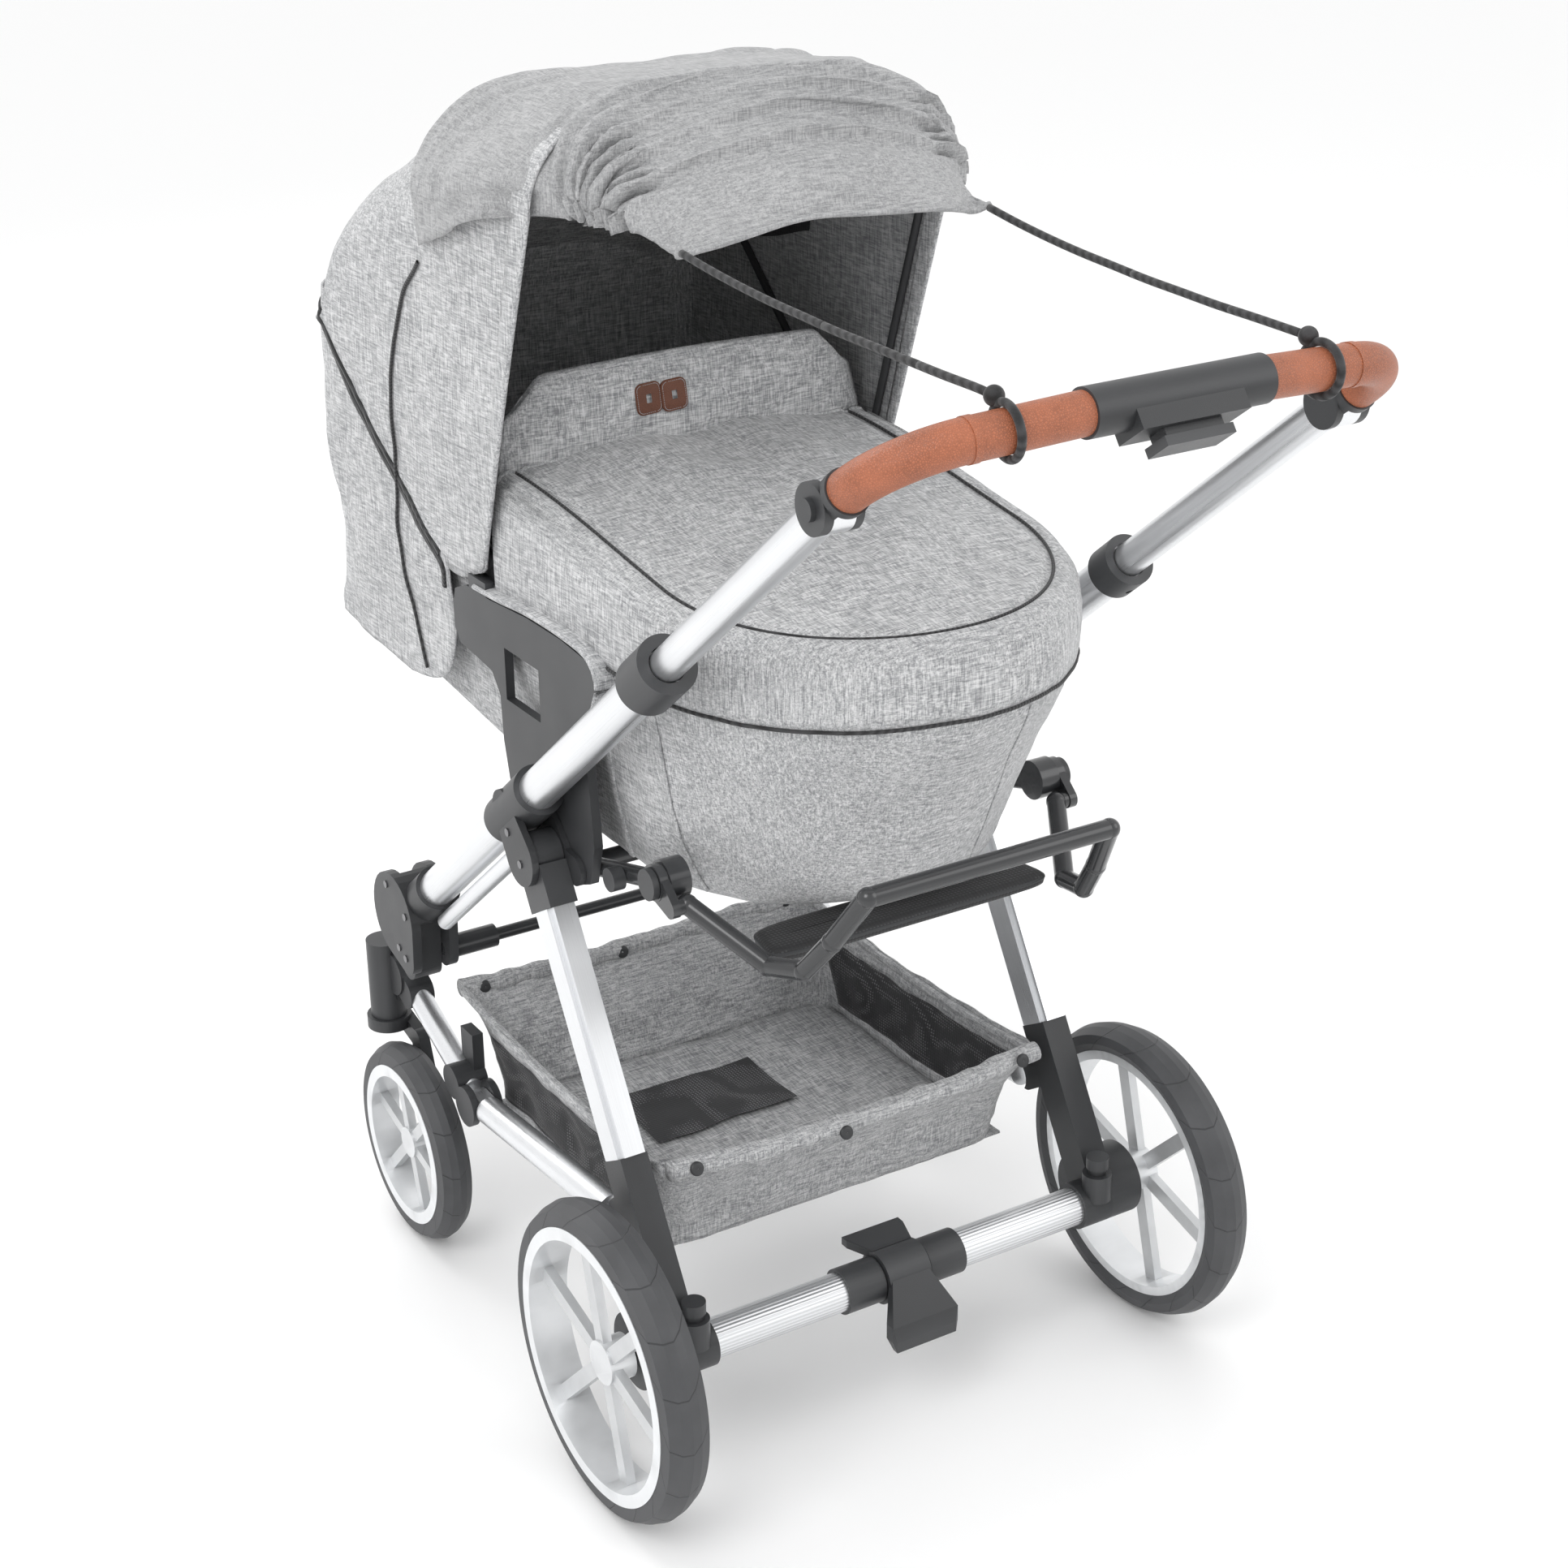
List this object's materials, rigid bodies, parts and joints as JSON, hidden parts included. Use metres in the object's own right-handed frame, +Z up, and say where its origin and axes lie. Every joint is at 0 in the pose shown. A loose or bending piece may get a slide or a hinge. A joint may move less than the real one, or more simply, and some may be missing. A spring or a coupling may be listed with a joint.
{
  "type": "baby stroller",
  "caption": "Folding baby stroller with a carrycot, hood with sun sail, tilting handlebar, shopping basket, braked rear wheels and swivel front wheels.",
  "frame": {"origin": "on the floor under the centre of the bounding box", "axes": "+Z up, +Y towards the handlebar, -Y towards the swivel wheels, +X to the pusher's left"},
  "size_m": [0.58, 1.0211, 1.106],
  "materials": {
    "tube": "satin anodised",
    "black_plastic": "fine grain",
    "black_metal": "satin",
    "grey_fabric": "melange weave",
    "lining": "soft",
    "basket_cloth": "melange weave with mesh",
    "mesh_pad": "mesh",
    "rim_paint": "satin silver",
    "tyre": "matt",
    "leather": "grained",
    "screw_steel": "dark",
    "cord_braid": "braided"
  },
  "bodies": {
    "upper_frame": {"main_tube_left": "tube", "main_tube_right": "tube", "frame_brackets": "black_plastic", "hinge_housings": "black_plastic", "cross_rod": "black_metal", "end_ring": "black_plastic", "seat_plate_left": "black_plastic", "seat_plate_right": "black_plastic", "seat_tubes": "black_metal", "seat_knobs": "black_plastic", "cot_shell": "grey_fabric", "cot_mattress": "lining", "cot_apron": "grey_fabric", "apron_flap": "grey_fabric", "hood_mounts": "black_plastic", "hood_fabric": "grey_fabric", "frame_screws": "screw_steel"},
    "rear_chassis": {"leg_heads": "black_plastic", "rear_leg_left": "tube", "rear_leg_right": "tube", "lower_legs": "black_plastic", "axle_tubes": "tube", "axle_centre": "black_plastic"},
    "front_chassis": {"front_arms": "black_plastic", "front_castings": "black_plastic", "front_struts": "tube", "paddle_brackets": "black_plastic"},
    "lower_rail": {"lower_tubes": "tube", "basket": "basket_cloth"},
    "coupling_bars": {"coupling_tubes": "tube"},
    "rear_wheel_left": {"rear_rim_left": "rim_paint", "rear_tyre_left": "tyre"},
    "rear_wheel_right": {"rear_rim_right": "rim_paint", "rear_tyre_right": "tyre"},
    "swivel_left": {"fork_left": "black_plastic"},
    "swivel_right": {"fork_right": "black_plastic"},
    "front_wheel_left": {"front_rim_left": "rim_paint", "front_tyre_left": "tyre"},
    "front_wheel_right": {"front_rim_right": "rim_paint", "front_tyre_right": "tyre"},
    "brake_rocker": {"brake_pedal": "black_plastic"},
    "release_left": {"release_knob_left": "black_plastic"},
    "release_right": {"release_knob_right": "black_plastic"},
    "collar": {"twist_collar": "black_plastic"},
    "push_arm": {"push_tube_left": "tube", "push_tube_right": "tube", "sail_cord_left": "cord_braid", "sail_cord_right": "cord_braid"},
    "handlebar": {"bar_elbows": "black_plastic", "bar_grips": "leather", "bar_unit": "black_plastic", "cord_loops": "cord_braid"},
    "trigger": {"fold_trigger": "black_plastic"},
    "tilt_left": {"tilt_button_left": "black_plastic"},
    "tilt_right": {"tilt_button_right": "black_plastic"},
    "hood_front": {"front_bow": "black_plastic", "sun_sail": "grey_fabric"},
    "hood_rear": {"rear_bow": "black_plastic"},
    "leg_rest": {"leg_rest_frame": "black_metal", "leg_rest_pad": "mesh_pad"}
  },
  "joints": [
    {"name": "chassis_fold", "type": "hinge", "parent": "upper_frame", "child": "rear_chassis", "pos_m": [0, -0.04531, 0.49501], "axis": [-1, 0, 0], "range_deg": [0, 45]},
    {"name": "front_fold", "type": "hinge", "parent": "upper_frame", "child": "front_chassis", "pos_m": [0, -0.3123, 0.333], "axis": [-1, 0, 0], "range_deg": [0, 78]},
    {"name": "lower_fold", "type": "hinge", "parent": "front_chassis", "child": "lower_rail", "pos_m": [0, -0.1973, 0.185], "axis": [1, 0, 0], "range_deg": [0, 82.5]},
    {"name": "coupling_slide", "type": "slide", "parent": "upper_frame", "child": "coupling_bars", "axis": [0, -0.7749, -0.632], "range_m": [0, 0.025]},
    {"name": "rear_spin_left", "type": "hinge", "parent": "rear_chassis", "child": "rear_wheel_left", "pos_m": [0.27, 0.1547, 0.136], "axis": [1, 0, 0], "continuous": true},
    {"name": "rear_spin_right", "type": "hinge", "parent": "rear_chassis", "child": "rear_wheel_right", "pos_m": [-0.27, 0.1547, 0.136], "axis": [1, 0, 0], "continuous": true},
    {"name": "swivel_turn_left", "type": "hinge", "parent": "front_chassis", "child": "swivel_left", "pos_m": [0.225, -0.3653, 0.22], "axis": [0, 0, 1], "continuous": true},
    {"name": "swivel_turn_right", "type": "hinge", "parent": "front_chassis", "child": "swivel_right", "pos_m": [-0.225, -0.3653, 0.22], "axis": [0, 0, 1], "continuous": true},
    {"name": "front_spin_left", "type": "hinge", "parent": "swivel_left", "child": "front_wheel_left", "pos_m": [0.232, -0.3053, 0.097], "axis": [1, 0, 0], "continuous": true},
    {"name": "front_spin_right", "type": "hinge", "parent": "swivel_right", "child": "front_wheel_right", "pos_m": [-0.232, -0.3053, 0.097], "axis": [1, 0, 0], "continuous": true},
    {"name": "brake_rock", "type": "hinge", "parent": "rear_chassis", "child": "brake_rocker", "pos_m": [0, 0.1682, 0.1313], "axis": [-1, 0, 0], "range_deg": [0, 12]},
    {"name": "release_press_left", "type": "slide", "parent": "rear_chassis", "child": "release_left", "axis": [0, 0, -1], "range_m": [0, 0.005], "stiffness_N_per_m": 400, "springref_m": -0.005},
    {"name": "release_press_right", "type": "slide", "parent": "rear_chassis", "child": "release_right", "axis": [0, 0, -1], "range_m": [0, 0.005], "stiffness_N_per_m": 400, "springref_m": -0.005},
    {"name": "collar_twist", "type": "hinge", "parent": "upper_frame", "child": "collar", "pos_m": [0.213, 0.16507, 0.72233], "axis": [0, 0.7749, 0.632], "range_deg": [0, 40]},
    {"name": "push_slide", "type": "slide", "parent": "upper_frame", "child": "push_arm", "axis": [0, -0.7749, -0.632], "range_m": [0, 0.15], "deforming": ["sail_cord_left", "sail_cord_right"]},
    {"name": "handle_tilt", "type": "hinge", "parent": "push_arm", "child": "handlebar", "pos_m": [0, 0.40297, 0.91636], "axis": [1, 0, 0], "range_deg": [-30, 45]},
    {"name": "trigger_squeeze", "type": "slide", "parent": "handlebar", "child": "trigger", "axis": [0, -0.5878, 0.809], "range_m": [0, 0.005], "stiffness_N_per_m": 400, "springref_m": -0.005},
    {"name": "tilt_press_left", "type": "slide", "parent": "handlebar", "child": "tilt_left", "axis": [-1, 0, 0], "range_m": [0, 0.003], "stiffness_N_per_m": 400, "springref_m": -0.005},
    {"name": "tilt_press_right", "type": "slide", "parent": "handlebar", "child": "tilt_right", "axis": [1, 0, 0], "range_m": [0, 0.003], "stiffness_N_per_m": 400, "springref_m": -0.005},
    {"name": "hood_fold", "type": "hinge", "parent": "upper_frame", "child": "hood_front", "pos_m": [0, -0.1753, 0.708], "axis": [1, 0, 0], "range_deg": [0, 70], "deforming": ["hood_fabric", "sun_sail"]},
    {"name": "hood_rear_fold", "type": "hinge", "parent": "upper_frame", "child": "hood_rear", "pos_m": [0, -0.1753, 0.708], "axis": [1, 0, 0], "range_deg": [0, 27.5]},
    {"name": "leg_rest_drop", "type": "hinge", "parent": "upper_frame", "child": "leg_rest", "pos_m": [0, 0.1147, 0.528], "axis": [-1, 0, 0], "range_deg": [0, 50]}
  ],
  "couplings": [
    {"joint": "front_fold", "follows": "chassis_fold", "ratio": 1.72},
    {"joint": "lower_fold", "follows": "chassis_fold", "ratio": 1.82},
    {"joint": "coupling_slide", "follows": "chassis_fold", "m_per_rad": 0.0315},
    {"joint": "hood_rear_fold", "follows": "hood_fold", "ratio": 0.386}
  ]
}
